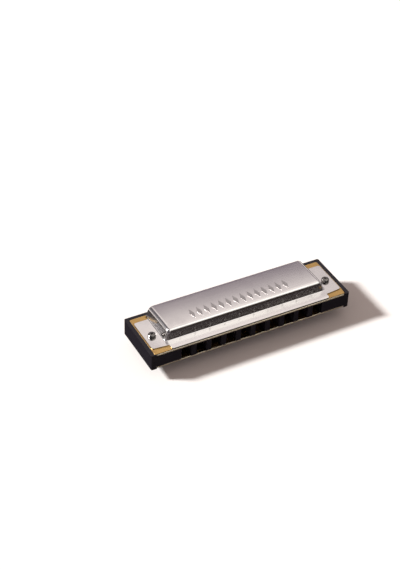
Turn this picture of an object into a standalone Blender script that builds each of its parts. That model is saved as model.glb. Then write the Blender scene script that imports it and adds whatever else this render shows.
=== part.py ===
# A ten-hole diatonic harmonica, held together by screws.
# X runs along its length with the low notes at -X, the mouth side faces -Y and +Z is up.
# The origin lies under the middle, on the surface that the harmonica rests on.
import math

import bmesh
import bpy
from mathutils import Matrix, Vector

# Driving dimensions, in millimetres and degrees. Heights are measured from the middle plane.
MM = 0.001
FIT_GAP = 0.04

LENGTH = 102.0
DEPTH = 28.1
COMB_CORNER = 1.5
WEB_HALF = 2.9
RIM_HALF = 4.1
RIM_AT_ENDS = 1.7
RIM_AT_BACK = 1.5

PLATE_THICKNESS = 1.0
PLATE_SIDE_GAP = 0.1
PLATE_FRONT_CORNER = 1.6
PLATE_BACK_CORNER = 0.8
PLATE_FRONT_SETBACK = 0.05

HOLES = 10
HOLE_PITCH = 7.5
CHAMBER_WIDTH = 5.0
CHAMBER_END_LOW = 10.8
CHAMBER_END_HIGH = 6.0

TONGUE_LOW = 14.4
TONGUE_HIGH = 7.4
TONGUE_WIDTH = 2.1
PAD_WIDTH = 2.8
PAD_FRONT = 1.5
PAD_BACK = 1.4
PAD_GAP = 0.12
PAD_SHOULDER = 0.4
REED_THICKNESS = 0.25
REED_SIDE_GAP = 0.1
REED_TIP_GAP = 0.15
DRAW_RIVET_Y = -6.0
BLOW_RIVET_SETBACK = 1.9

RIVET_SHANK = 0.45
RIVET_HEAD = 0.8
RIVET_HEAD_HEIGHT = 0.35
RIVET_CROWN = 0.56
RIVET_CROWN_DROP = 0.07
RIVET_SIDE_DROP = 0.2
RIVET_HEAD_GAP = 0.06
RIVET_FOOT = 0.62
RIVET_FOOT_HEIGHT = 0.2
RIVET_HOLE = 0.52

SHEET = 0.4
COVER_TOP = 9.5
HOOD_FOOT_X = 41.3
HOOD_FOOT_Y = -8.0
HOOD_BACK_Y = 12.2
HOOD_END_LEAN = 20.0
HOOD_FRONT_LEAN = 7.0
HOOD_CREST = 2.2
HOOD_EDGE = 0.9
TOP_FLAT_END_Y = 3.0
TOP_DROP_AT_BACK = 0.6
HEM_DEPTH = 1.5
HEM_THICKNESS = 0.35
LIP_HALF = 40.6
LIP_FRONT_Y = -13.5
FLANGE_HALF = 48.6
FLANGE_FRONT_Y = -9.9
FLANGE_FRONT_SLOPE = 0.7
FLANGE_BACK_Y = 9.1
FLANGE_CORNER = 1.0
LIP_INNER_CORNER = 0.4

BOLT_X = 45.0
BOLT_Y = -2.2
BOLT_SHANK = 1.0
BOLT_HOLE = 1.15
BOLT_HEAD = 1.8
BOLT_HEAD_HEIGHT = 1.5
BOLT_PROUD = 0.5
BOLT_POINT = 0.3
BOLT_TURN = 40.0
BOLT_RECESS_ARM = 1.0
BOLT_RECESS_WIDTH = 0.5
BOLT_RECESS_DEPTH = 0.8
NUT_FLATS = 4.0
NUT_HEIGHT = 1.6
NUT_BORE = 1.05

SCREW_SHANK = 0.7
SCREW_HOLE = 0.75
SCREW_HEAD = 1.25
SCREW_HEAD_HEIGHT = 0.7
SCREW_LENGTH = 3.6
SCREW_POINT = 0.7
UPPER_SCREW_TURN = 25.0
LOWER_SCREW_TURN = 35.0
SCREW_HOLE_DEPTH = 2.85
SCREW_SLOT = 0.3
SCREW_SLOT_DEPTH = 0.35
FRONT_SCREWS = [(-15.0, -3.2), (15.0, -3.2)]
BACK_SCREWS = [(-30.0, 10.9), (0.0, 10.9), (30.0, 10.9)]

# Shares of a head's radius and height, from the middle of its slightly domed top outwards.
DOME_RADII = (0.6, 0.88)
DOME_HEIGHTS = (0.97, 0.85)
DOME_SIDE = 0.6

# How many sides round parts have.
BOLT_SIDES = 20
BOLT_HOLE_SIDES = 16
SCREW_SIDES = 12
SMALL_HOLE_SIDES = 10
CORNER_STEPS = 5

# Heights that follow from the ones above.
PLATE_INNER = WEB_HALF + FIT_GAP
PLATE_OUTER = PLATE_INNER + PLATE_THICKNESS
FLANGE_UNDER = PLATE_OUTER + FIT_GAP
FLANGE_TOP = FLANGE_UNDER + SHEET
PLATE_HALF = LENGTH / 2 - RIM_AT_ENDS - PLATE_SIDE_GAP
PLATE_FRONT_Y = -DEPTH / 2 + PLATE_FRONT_SETBACK
PLATE_BACK_Y = DEPTH / 2 - RIM_AT_BACK - PLATE_SIDE_GAP
REED_SURFACE = PAD_GAP + REED_THICKNESS
HEAD_UNDER = REED_SURFACE + RIVET_HEAD_GAP
PAST = 1.0
NEAR = 0.01

COLOURS = {
    "black_plastic": ((0.012, 0.012, 0.014), 0.42, 0.0),
    "brass": ((0.78, 0.52, 0.22), 0.28, 1.0),
    "reed_brass": ((0.83, 0.62, 0.30), 0.22, 1.0),
    "steel_sheet": ((0.74, 0.72, 0.73), 0.24, 1.0),
    "steel_screw": ((0.60, 0.59, 0.58), 0.30, 1.0),
}


def clear_scene():
    for obj in list(bpy.data.objects):
        bpy.data.objects.remove(obj, do_unlink=True)


def new_collection(name):
    collection = bpy.data.collections.new(name)
    bpy.context.scene.collection.children.link(collection)
    return collection


def new_material(name):
    colour, roughness, metallic = COLOURS[name]
    material = bpy.data.materials.new(name)
    material.use_nodes = True
    shader = material.node_tree.nodes["Principled BSDF"]
    shader.inputs["Base Color"].default_value = (*colour, 1.0)
    shader.inputs["Roughness"].default_value = roughness
    shader.inputs["Metallic"].default_value = metallic
    return material


def chamber_x(index):
    return (index - (HOLES - 1) / 2) * HOLE_PITCH


def along_scale(low, high, index):
    # A size that changes evenly from the lowest hole to the highest.
    return low + (high - low) * index / (HOLES - 1)


def arc(centre, radius, start, end, steps):
    points = []
    for step in range(steps + 1):
        angle = math.radians(start + (end - start) * step / steps)
        points.append((centre[0] + radius * math.cos(angle), centre[1] + radius * math.sin(angle)))
    return points


def filleted(corners, steps=3):
    # corners holds (x, y, radius). Each corner is replaced by an arc that touches both its sides.
    points = []
    for index, (x, y, radius) in enumerate(corners):
        corner = Vector((x, y))
        before = (Vector(corners[index - 1][:2]) - corner).normalized()
        after = (Vector(corners[(index + 1) % len(corners)][:2]) - corner).normalized()
        half = before.angle(after) / 2
        centre = corner + (before + after).normalized() * radius / math.sin(half)
        start = corner + before * radius / math.tan(half) - centre
        end = corner + after * radius / math.tan(half) - centre
        for step in range(steps + 1):
            share = step / steps
            spoke = start.slerp(end, share, start) if 0 < share < 1 else (end if share else start)
            points.append(tuple(centre + spoke))
    return points


def circle(centre, radius, sides):
    return arc(centre, radius, 0, 360 - 360 / sides, sides - 1)


def rectangle(x0, x1, y0, y1):
    return [(x0, y0), (x1, y0), (x1, y1), (x0, y1)]


def rounded_rectangle(half_x, y0, y1, front, back, steps=CORNER_STEPS):
    return (
        arc((-half_x + front, y0 + front), front, 180, 270, steps)
        + arc((half_x - front, y0 + front), front, 270, 360, steps)
        + arc((half_x - back, y1 - back), back, 0, 90, steps)
        + arc((-half_x + back, y1 - back), back, 90, 180, steps)
    )


def flat_curve(name, outlines, thickness):
    # A sheet piece: its first outline is the edge and the others are holes in it.
    curve = bpy.data.curves.new(name, "CURVE")
    curve.dimensions = "2D"
    curve.fill_mode = "BOTH"
    curve.extrude = thickness * MM / 2
    for outline in outlines:
        spline = curve.splines.new("POLY")
        spline.points.add(len(outline) - 1)
        for point, (x, y) in zip(spline.points, outline):
            point.co = (x * MM, y * MM, 0.0, 1.0)
        spline.use_cyclic_u = True
    return curve


def evaluated_mesh(obj, name):
    bpy.context.view_layer.update()
    graph = bpy.context.evaluated_depsgraph_get()
    mesh = bpy.data.meshes.new_from_object(obj.evaluated_get(graph))
    mesh.name = name
    shape = bmesh.new()
    shape.from_mesh(mesh)
    bmesh.ops.remove_doubles(shape, verts=shape.verts, dist=1e-7)
    shape.to_mesh(mesh)
    shape.free()
    return mesh


def baked(obj, name):
    # The object's final mesh, without its curve or its modifiers. The object itself goes.
    mesh = evaluated_mesh(obj, name)
    bpy.data.objects.remove(obj, do_unlink=True)
    return mesh


def flat_mesh(name, outlines, thickness):
    holder = bpy.data.objects.new(name, flat_curve(name, outlines, thickness))
    bpy.context.scene.collection.objects.link(holder)
    return baked(holder, name)


def block(shape, x0, x1, y0, y1, z0, z1):
    made = bmesh.ops.create_cube(shape, size=1.0)
    size = ((x1 - x0) * MM, (y1 - y0) * MM, (z1 - z0) * MM)
    middle = ((x0 + x1) / 2 * MM, (y0 + y1) / 2 * MM, (z0 + z1) / 2 * MM)
    bmesh.ops.scale(shape, vec=size, verts=made["verts"])
    bmesh.ops.translate(shape, vec=middle, verts=made["verts"])
    return made["verts"]


def upright_cylinder(shape, x, y, z0, z1, radius, sides):
    made = bmesh.ops.create_cone(
        shape, cap_ends=True, segments=sides, radius1=radius * MM, radius2=radius * MM, depth=(z1 - z0) * MM
    )
    bmesh.ops.translate(shape, vec=(x * MM, y * MM, (z0 + z1) / 2 * MM), verts=made["verts"])


def mesh_from(shape, name):
    mesh = bpy.data.meshes.new(name)
    shape.to_mesh(mesh)
    shape.free()
    return mesh


def cutter(name, mesh):
    obj = bpy.data.objects.new(name, mesh)
    obj.hide_render = True
    obj.display_type = "WIRE"
    cutters.objects.link(obj)
    obj.parent = mid_plane
    return obj


def cut(obj, tool, operation="DIFFERENCE"):
    modifier = obj.modifiers.new(tool.name, "BOOLEAN")
    modifier.operation = operation
    modifier.solver = "EXACT"
    modifier.object = tool


def turned_mesh(name, profile, steps):
    # profile runs down the outer side, from the top of the axis to its bottom.
    mesh = bpy.data.meshes.new(name)
    points = [(x * MM, 0.0, z * MM) for x, z in profile]
    edges = [(index, index + 1) for index in range(len(points) - 1)]
    mesh.from_pydata(points, edges, [])
    holder = bpy.data.objects.new(name, mesh)
    bpy.context.scene.collection.objects.link(holder)
    turn = holder.modifiers.new("turn", "SCREW")
    turn.steps = steps
    turn.render_steps = steps
    turn.use_merge_vertices = True
    turn.merge_threshold = 1e-7
    turned = baked(holder, name)
    turned.shade_smooth()
    turned.set_sharp_from_angle(angle=math.radians(35))
    return turned


def recessed(mesh, name, slots, depth, top):
    # Driver slots in a screw head: each is (half length in x, half length in y).
    holder = bpy.data.objects.new(name, mesh)
    bpy.context.scene.collection.objects.link(holder)
    tools = []
    for index, (half_x, half_y) in enumerate(slots):
        shape = bmesh.new()
        block(shape, -half_x, half_x, -half_y, half_y, top - depth, top + PAST)
        tool_name = f"{name}_slot_{index + 1}"
        tool = cutter(tool_name, mesh_from(shape, tool_name))
        tool.parent = None
        cut(holder, tool)
        tools.append(tool)
    result = baked(holder, name)
    for tool in tools:
        bpy.data.objects.remove(tool, do_unlink=True)
    return result


def place(name, data, material, location, turn=(0.0, 0.0, 0.0)):
    obj = bpy.data.objects.new(name, data)
    harmonica.objects.link(obj)
    obj.parent = mid_plane
    if not data.materials:
        data.materials.append(material)
    obj.location = [value * MM for value in location]
    obj.rotation_euler = [math.radians(value) for value in turn]
    return obj


def make_comb(material):
    mesh = flat_mesh(
        "comb",
        [rounded_rectangle(LENGTH / 2, -DEPTH / 2, DEPTH / 2, COMB_CORNER, COMB_CORNER)],
        2 * RIM_HALF,
    )
    comb = place("comb", mesh, material, (0, 0, 0))

    # The recesses for the two reed plates, open at the mouth side.
    recess_outline = rounded_rectangle(
        PLATE_HALF + PLATE_SIDE_GAP,
        -DEPTH / 2 - 2 * PLATE_SIDE_GAP,
        PLATE_BACK_Y + PLATE_SIDE_GAP,
        PLATE_FRONT_CORNER + PLATE_SIDE_GAP,
        PLATE_BACK_CORNER + PLATE_SIDE_GAP,
    )
    recess_height = RIM_HALF - WEB_HALF + PAST
    for name, side in (("upper_recess", 1), ("lower_recess", -1)):
        tool = cutter(name, flat_mesh(name, [recess_outline], recess_height))
        tool.location.z = side * (WEB_HALF + recess_height / 2) * MM
        cut(comb, tool)

    # The ten chambers and the holes for the bolts and the plate screws.
    shape = bmesh.new()
    for index in range(HOLES):
        x = chamber_x(index)
        end = along_scale(CHAMBER_END_LOW, CHAMBER_END_HIGH, index)
        half = CHAMBER_WIDTH / 2
        block(shape, x - half, x + half, -DEPTH / 2 - PAST, end, -RIM_HALF - PAST, RIM_HALF + PAST)
    for x in (-BOLT_X, BOLT_X):
        upright_cylinder(shape, x, BOLT_Y, -RIM_HALF - PAST, RIM_HALF + PAST, BOLT_HOLE, BOLT_HOLE_SIDES)
    for x, y in FRONT_SCREWS + BACK_SCREWS:
        bottom = WEB_HALF - SCREW_HOLE_DEPTH
        upright_cylinder(shape, x, y, bottom, RIM_HALF + PAST, SCREW_HOLE, SMALL_HOLE_SIDES)
        upright_cylinder(shape, x, y, -RIM_HALF - PAST, -bottom, SCREW_HOLE, SMALL_HOLE_SIDES)
    cut(comb, cutter("chambers_and_holes", mesh_from(shape, "chambers_and_holes")))


def reed_places():
    # For each hole: its x, its tongue's length, and the y of its blow and draw rivets.
    places = []
    for index in range(HOLES):
        chamber_end = along_scale(CHAMBER_END_LOW, CHAMBER_END_HIGH, index)
        places.append((
            chamber_x(index),
            along_scale(TONGUE_LOW, TONGUE_HIGH, index),
            chamber_end - BLOW_RIVET_SETBACK,
            DRAW_RIVET_Y,
        ))
    return places


def make_reed_plate(name, material, side, rivets):
    # rivets holds (x, y, direction in y of the tongue, length of the tongue).
    corners = (PLATE_FRONT_CORNER, PLATE_BACK_CORNER)
    outlines = [rounded_rectangle(PLATE_HALF, PLATE_FRONT_Y, PLATE_BACK_Y, *corners)]
    half = TONGUE_WIDTH / 2 + REED_SIDE_GAP
    for x, y, direction, tongue in rivets:
        near = y + direction * (PAD_FRONT + REED_SIDE_GAP)
        far = y + direction * (PAD_FRONT + tongue + REED_TIP_GAP)
        outlines.append(rectangle(x - half, x + half, min(near, far), max(near, far)))
        outlines.append(circle((x, y), RIVET_HOLE, SMALL_HOLE_SIDES))
    for x in (-BOLT_X, BOLT_X):
        outlines.append(circle((x, BOLT_Y), BOLT_HOLE, BOLT_HOLE_SIDES))
    for x, y in FRONT_SCREWS + BACK_SCREWS:
        outlines.append(circle((x, y), SCREW_HOLE, SMALL_HOLE_SIDES))
    curve = flat_curve(name, outlines, PLATE_THICKNESS)
    place(name, curve, material, (0, 0, side * (PLATE_INNER + PLATE_OUTER) / 2))


def reed_mesh(name, tongue):
    # The rivet's centre is the reed's origin, and its tongue runs along +Y.
    pad = PAD_WIDTH / 2
    width = TONGUE_WIDTH / 2
    tip = PAD_FRONT + tongue
    outline = [
        (-pad, -PAD_BACK),
        (pad, -PAD_BACK),
        (pad, PAD_FRONT - PAD_SHOULDER),
        (width, PAD_FRONT),
        (width, tip),
        (-width, tip),
        (-width, PAD_FRONT),
        (-pad, PAD_FRONT - PAD_SHOULDER),
    ]
    return flat_mesh(name, [outline, circle((0, 0), RIVET_HOLE, SMALL_HOLE_SIDES)], REED_THICKNESS)


def rivet_mesh():
    # Height 0 is the face of the plate that the reed lies over.
    top = HEAD_UNDER + RIVET_HEAD_HEIGHT
    foot = -PLATE_THICKNESS - FIT_GAP
    profile = [
        (0, top),
        (RIVET_CROWN, top - RIVET_CROWN_DROP),
        (RIVET_HEAD, top - RIVET_SIDE_DROP),
        (RIVET_HEAD, HEAD_UNDER),
        (RIVET_SHANK, HEAD_UNDER),
        (RIVET_SHANK, foot),
        (RIVET_FOOT, foot),
        (RIVET_FOOT, foot - RIVET_FOOT_HEIGHT),
        (0, foot - RIVET_FOOT_HEIGHT),
    ]
    return turned_mesh("reed_rivet", profile, SMALL_HOLE_SIDES)


def make_reeds(reed_material, rivet_material):
    rivet = rivet_mesh()
    middle = PAD_GAP + REED_THICKNESS / 2
    for index, (x, tongue, blow_y, draw_y) in enumerate(reed_places()):
        mesh = reed_mesh(f"reed_{index + 1:02d}", tongue)
        number = f"{index + 1:02d}"
        # A blow reed hangs under the upper plate and points at the mouth side.
        place(f"blow_reed_{number}", mesh, reed_material, (x, blow_y, PLATE_INNER - middle), (180, 0, 0))
        place(f"blow_rivet_{number}", rivet, rivet_material, (x, blow_y, PLATE_INNER), (180, 0, 0))
        # A draw reed lies outside the lower plate and points at the back.
        place(f"draw_reed_{number}", mesh, reed_material, (x, draw_y, -PLATE_OUTER - middle), (0, 180, 0))
        place(f"draw_rivet_{number}", rivet, rivet_material, (x, draw_y, -PLATE_OUTER), (0, 180, 0))


def top_height(y):
    # The top is flat at the front and falls in a shallow curve towards the back.
    if y <= TOP_FLAT_END_Y:
        return COVER_TOP
    share = (y - TOP_FLAT_END_Y) / (HOOD_BACK_Y - TOP_FLAT_END_Y)
    return COVER_TOP - TOP_DROP_AT_BACK * share * share


def hood_profile(inset, foot_z):
    # Side view (y, z) of the front wall, the crest and the top, up to the back edge.
    lean = math.radians(HOOD_FRONT_LEAN)
    centre_z = COVER_TOP - HOOD_CREST
    touch_z = centre_z + HOOD_CREST * math.sin(lean)
    centre_y = HOOD_FOOT_Y + (touch_z - FLANGE_TOP) * math.tan(lean) + HOOD_CREST * math.cos(lean)
    radius = HOOD_CREST - inset
    crest = arc((centre_y, centre_z), radius, 180 - HOOD_FRONT_LEAN, 90, CORNER_STEPS)
    foot_y = crest[0][0] - (crest[0][1] - foot_z) * math.tan(lean)
    back_end = HOOD_BACK_Y if inset == 0 else HOOD_BACK_Y - HEM_DEPTH
    top = []
    for step in range(CORNER_STEPS + 1):
        y = TOP_FLAT_END_Y + (back_end - TOP_FLAT_END_Y) * step / CORNER_STEPS
        top.append((y, top_height(y) - inset))
    return [(foot_y, foot_z)] + crest + top


def hood_mesh(name, profile, foot_x, edge, foot_z):
    # The profile runs from one leaning end wall to the other, and its ends are then rounded.
    shape = bmesh.new()
    lean = math.tan(math.radians(HOOD_END_LEAN))
    corners = [shape.verts.new((0.0, y * MM, z * MM)) for y, z in profile]
    end_face = shape.faces.new(corners)
    end_face.normal_update()
    extruded = bmesh.ops.extrude_face_region(shape, geom=[end_face])
    moved = [item for item in extruded["geom"] if isinstance(item, bmesh.types.BMVert)]
    fixed = [vert for vert in shape.verts if vert not in moved]
    for side, group in ((-1, fixed), (1, moved)):
        for vert in group:
            vert.co.x = side * (foot_x * MM - (vert.co.z - FLANGE_TOP * MM) * lean)
    bmesh.ops.recalc_face_normals(shape, faces=shape.faces)
    last_y = profile[-1][0]
    rounded = []
    for line in shape.edges:
        a, b = (vert.co for vert in line.verts)
        across = abs(a.x - b.x) > foot_x * MM
        at_bottom = max(a.z, b.z) < (foot_z + NEAR) * MM
        at_back = min(a.y, b.y) > (last_y - NEAR) * MM
        if not (across or at_bottom or at_back):
            rounded.append(line)
    bmesh.ops.bevel(shape, geom=rounded, offset=edge * MM, segments=3, profile=0.5, affect="EDGES")
    return mesh_from(shape, name)


def cover_mesh():
    left_half = [
        (-FLANGE_HALF, FLANGE_BACK_Y, FLANGE_CORNER),
        (-FLANGE_HALF, FLANGE_FRONT_Y, FLANGE_CORNER),
        (-LIP_HALF, FLANGE_FRONT_Y - FLANGE_FRONT_SLOPE, LIP_INNER_CORNER),
        (-LIP_HALF, LIP_FRONT_Y, FLANGE_CORNER),
    ]
    right_half = [(-x, y, radius) for x, y, radius in reversed(left_half)]
    flange_outline = filleted(left_half + right_half)
    bolt_holes = [circle((x, BOLT_Y), BOLT_HOLE, BOLT_HOLE_SIDES) for x in (-BOLT_X, BOLT_X)]
    flange_mesh = flat_mesh("flange", [flange_outline] + bolt_holes, SHEET)
    flange_mesh.transform(Matrix.Translation((0, 0, (FLANGE_UNDER + SHEET / 2) * MM)))
    flange = bpy.data.objects.new("flange", flange_mesh)
    bpy.context.scene.collection.objects.link(flange)

    foot_z = FLANGE_UNDER + FIT_GAP
    outer = hood_profile(0, foot_z) + [(HOOD_BACK_Y, foot_z)]
    outer_tool = cutter("hood_outside", hood_mesh("hood_outside", outer, HOOD_FOOT_X, HOOD_EDGE, foot_z))

    open_z = FLANGE_UNDER - PAST
    inner = hood_profile(SHEET, open_z)
    hem_z = inner[-1][1] - HEM_THICKNESS
    inner += [(inner[-1][0], hem_z), (HOOD_BACK_Y + PAST, hem_z), (HOOD_BACK_Y + PAST, open_z)]
    inner_x = HOOD_FOOT_X - SHEET / math.cos(math.radians(HOOD_END_LEAN))
    inner_tool = cutter("hood_inside", hood_mesh("hood_inside", inner, inner_x, HOOD_EDGE - SHEET, open_z))

    for tool in (outer_tool, inner_tool):
        tool.parent = None
    cut(flange, outer_tool, "UNION")
    cut(flange, inner_tool)
    mesh = baked(flange, "cover")
    for tool in (outer_tool, inner_tool):
        bpy.data.objects.remove(tool, do_unlink=True)
    mesh.shade_smooth()
    mesh.set_sharp_from_angle(angle=math.radians(30))
    return mesh


def make_covers(material):
    mesh = cover_mesh()
    place("upper_cover", mesh, material, (0, 0, 0))
    place("lower_cover", mesh, material, (0, 0, 0), (0, 180, 0))


def round_head(radius, height):
    # The side of a drum-like head with a slightly domed top, from its top at height down to 0.
    return [
        (0, height),
        (radius * DOME_RADII[0], height * DOME_HEIGHTS[0]),
        (radius * DOME_RADII[1], height * DOME_HEIGHTS[1]),
        (radius, height * DOME_SIDE),
        (radius, 0),
    ]


def make_bolts(material):
    # The bolts go through both covers, both plates and the comb, and the nuts are at the bottom.
    under_head = FLANGE_TOP + FIT_GAP
    nut_top = -FLANGE_TOP - FIT_GAP
    end = nut_top - NUT_HEIGHT - BOLT_PROUD - under_head
    profile = round_head(BOLT_HEAD, BOLT_HEAD_HEIGHT)
    profile += [(BOLT_SHANK, 0), (BOLT_SHANK, end + BOLT_POINT), (BOLT_SHANK - BOLT_POINT, end), (0, end)]
    arm, width = BOLT_RECESS_ARM, BOLT_RECESS_WIDTH / 2
    cross = [(arm, width), (width, arm)]
    plain_bolt = turned_mesh("bolt", profile, BOLT_SIDES)
    bolt = recessed(plain_bolt, "cover_bolt", cross, BOLT_RECESS_DEPTH, BOLT_HEAD_HEIGHT)
    corner = NUT_FLATS / math.sqrt(3)
    bore = circle((0, 0), NUT_BORE, BOLT_HOLE_SIDES)
    nut = flat_mesh("cover_nut", [circle((0, 0), corner, 6), bore], NUT_HEIGHT)
    for side, x in (("left", -BOLT_X), ("right", BOLT_X)):
        place(f"{side}_cover_bolt", bolt, material, (x, BOLT_Y, under_head), (0, 0, BOLT_TURN))
        place(f"{side}_cover_nut", nut, material, (x, BOLT_Y, nut_top - NUT_HEIGHT / 2))


def make_plate_screws(material):
    profile = round_head(SCREW_HEAD, SCREW_HEAD_HEIGHT)
    profile += [(SCREW_SHANK, 0), (SCREW_SHANK, SCREW_POINT - SCREW_LENGTH), (0, -SCREW_LENGTH)]
    slot = [(SCREW_HEAD + PAST, SCREW_SLOT / 2)]
    plain_screw = turned_mesh("screw", profile, SCREW_SIDES)
    screw = recessed(plain_screw, "plate_screw", slot, SCREW_SLOT_DEPTH, SCREW_HEAD_HEIGHT)
    under_head = PLATE_OUTER + FIT_GAP
    for index, (x, y) in enumerate(FRONT_SCREWS + BACK_SCREWS):
        upper_turn = (0, 0, UPPER_SCREW_TURN * index)
        lower_turn = (180, 0, LOWER_SCREW_TURN * index)
        place(f"upper_plate_screw_{index + 1}", screw, material, (x, y, under_head), upper_turn)
        place(f"lower_plate_screw_{index + 1}", screw, material, (x, y, -under_head), lower_turn)


clear_scene()
harmonica = new_collection("harmonica")
cutters = new_collection("cutters")
mid_plane = bpy.data.objects.new("mid_plane", None)
harmonica.objects.link(mid_plane)
mid_plane.location.z = COVER_TOP * MM
bpy.context.view_layer.update()

finish = {name: new_material(name) for name in COLOURS}
make_comb(finish["black_plastic"])
make_reed_plate(
    "upper_reed_plate",
    finish["brass"],
    1,
    [(x, blow_y, -1, tongue) for x, tongue, blow_y, draw_y in reed_places()],
)
make_reed_plate(
    "lower_reed_plate",
    finish["brass"],
    -1,
    [(x, draw_y, 1, tongue) for x, tongue, blow_y, draw_y in reed_places()],
)
make_reeds(finish["reed_brass"], finish["brass"])
make_covers(finish["steel_sheet"])
make_bolts(finish["steel_screw"])
make_plate_screws(finish["steel_screw"])
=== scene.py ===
# Harmonica on a pale table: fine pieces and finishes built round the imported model.
# All sizes below are in millimetres and are turned into metres by mm.
import math

import bmesh
import bpy
from mathutils import Matrix, Vector


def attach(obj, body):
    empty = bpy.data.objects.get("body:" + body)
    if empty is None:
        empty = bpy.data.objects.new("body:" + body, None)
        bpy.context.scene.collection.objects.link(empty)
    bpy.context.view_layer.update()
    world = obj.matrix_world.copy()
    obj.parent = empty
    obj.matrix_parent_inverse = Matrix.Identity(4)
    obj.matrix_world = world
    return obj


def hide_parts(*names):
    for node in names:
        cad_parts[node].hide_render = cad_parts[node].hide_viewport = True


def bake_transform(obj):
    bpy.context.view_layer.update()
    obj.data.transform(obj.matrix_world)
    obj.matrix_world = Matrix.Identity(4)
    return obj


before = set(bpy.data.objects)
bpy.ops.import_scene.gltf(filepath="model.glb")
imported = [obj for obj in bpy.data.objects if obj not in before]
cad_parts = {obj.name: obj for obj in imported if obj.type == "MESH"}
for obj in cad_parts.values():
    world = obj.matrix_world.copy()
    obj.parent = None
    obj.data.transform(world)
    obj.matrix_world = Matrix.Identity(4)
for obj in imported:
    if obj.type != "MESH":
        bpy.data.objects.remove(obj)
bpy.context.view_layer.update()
mm = 0.001
mainBody = "harmonica_body"
slack = 0.02       # how far from a place a point may lie and still count as there

# Sizes that several pieces share.
mid = 9.5          # height of the middle plane over the table
gap = 0.04         # between a screw's head or nut and what it holds
holeRow = {"count": 10, "pitch": 7.5}


# Small helpers for working as in the viewport.

def near(a, b, within=slack):
    return abs(a - b) < within


def shift(x, y, z):
    return Matrix.Translation((x * mm, y * mm, z * mm))


def turnBy(degrees, axis):
    return Matrix.Rotation(math.radians(degrees), 4, axis)


def holeX(index):
    return (index - (holeRow["count"] - 1) / 2) * holeRow["pitch"]


def alongScale(low, high, index):
    # Grades a size from the lowest note's to the highest note's.
    return low + (high - low) * index / (holeRow["count"] - 1)


def deselectAll():
    if bpy.context.object and bpy.context.object.mode != "OBJECT":
        bpy.ops.object.mode_set(mode="OBJECT")
    bpy.ops.object.select_all(action="DESELECT")


def choose(*objects):
    deselectAll()
    for obj in objects:
        obj.select_set(True)
    bpy.context.view_layer.objects.active = objects[0]


def settle(obj):
    # Puts the piece's place into its mesh.
    choose(obj)
    bpy.ops.object.transform_apply(location=True, rotation=True, scale=True)
    return obj


def addBlock(name, low, high):
    deselectAll()
    centre = [(a + b) / 2 * mm for a, b in zip(low, high)]
    size = [(b - a) * mm for a, b in zip(low, high)]
    bpy.ops.mesh.primitive_cube_add(size=1, location=centre, scale=size)
    block = bpy.context.object
    block.name = name
    return settle(block)


def addRod(name, x, y, zLow, zHigh, radius, sides=32):
    deselectAll()
    bpy.ops.mesh.primitive_cylinder_add(
        vertices=sides, radius=radius * mm, depth=(zHigh - zLow) * mm,
        location=(x * mm, y * mm, (zLow + zHigh) / 2 * mm))
    rod = bpy.context.object
    rod.name = name
    return settle(rod)


def startEdit(obj):
    choose(obj)
    bpy.ops.object.mode_set(mode="EDIT")


def endEdit():
    bpy.ops.object.mode_set(mode="OBJECT")


def pickParts(mode, rule):
    bpy.ops.mesh.select_mode(type=mode)
    bpy.ops.mesh.select_all(action="DESELECT")
    shape = bmesh.from_edit_mesh(bpy.context.edit_object.data)
    shape.normal_update()
    for part in {"FACE": shape.faces, "EDGE": shape.edges, "VERT": shape.verts}[mode]:
        if rule(part):
            part.select_set(True)
    if mode == "VERT":
        shape.select_flush_mode()
    bmesh.update_edit_mesh(bpy.context.edit_object.data)


def pickFaces(rule):
    # rule gets a face's middle, in millimetres, and its normal.
    pickParts("FACE", lambda face: rule(face.calc_center_median() / mm, face.normal))


def pickEdges(rule):
    # rule gets the edge and its two ends, in millimetres.
    pickParts("EDGE", lambda edge: rule(edge, edge.verts[0].co / mm, edge.verts[1].co / mm))


def pickPoints(rule):
    # rule gets the point's place, in millimetres.
    pickParts("VERT", lambda vert: rule(vert.co / mm))


def moveBy(x, y, z):
    bpy.ops.transform.translate(value=(x * mm, y * mm, z * mm))


def pullOut(x, y, z):
    # Extrudes what is picked, as far as it is moved.
    bpy.ops.mesh.extrude_region_move(TRANSFORM_OT_translate={"value": (x * mm, y * mm, z * mm)})


def roundPicked(width, segments, affect="EDGES"):
    bpy.ops.mesh.bevel(offset=width * mm, segments=segments, profile=0.5, affect=affect, clamp_overlap=False)


def anyFace(middle, normal):
    return True


def sliceFaces(rule, point, normal):
    # Cuts the picked faces along a plane and keeps both sides.
    pickFaces(rule)
    bpy.ops.mesh.bisect(plane_co=[value * mm for value in point], plane_no=normal, threshold=1e-7)


def applyModifier(obj, kind, **settings):
    choose(obj)
    modifier = obj.modifiers.new(kind.lower(), kind)
    for key, value in settings.items():
        setattr(modifier, key, value)
    bpy.ops.object.modifier_apply(modifier=modifier.name)


def cutWith(obj, *tools, operation="DIFFERENCE"):
    for tool in tools:
        applyModifier(obj, "BOOLEAN", object=tool, operation=operation, solver="EXACT")
        bpy.data.objects.remove(tool, do_unlink=True)


def joinAll(objects, name):
    choose(*objects)
    if len(objects) > 1:
        bpy.ops.object.join()
    joined = bpy.context.object
    joined.name = name
    joined.data.name = name
    return joined


def softenEdges(obj, width, segments, angle):
    applyModifier(obj, "BEVEL", width=width * mm, segments=segments, limit_method="ANGLE",
                  angle_limit=math.radians(angle), harden_normals=False)


def smoothShade(obj, angle):
    choose(obj)
    bpy.ops.object.shade_smooth_by_angle(angle=math.radians(angle), keep_sharp_edges=False)
    applyModifier(obj, "WEIGHTED_NORMAL", keep_sharp=True, weight=100)


def copyPiece(obj, name, turn=None):
    double = obj.copy()
    double.data = obj.data.copy()
    double.name = name
    double.data.name = name
    bpy.context.scene.collection.objects.link(double)
    if turn is not None:
        double.matrix_world = turn
        settle(double)
    return double


def paint(obj, material):
    obj.data.materials.clear()
    obj.data.materials.append(material)


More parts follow.
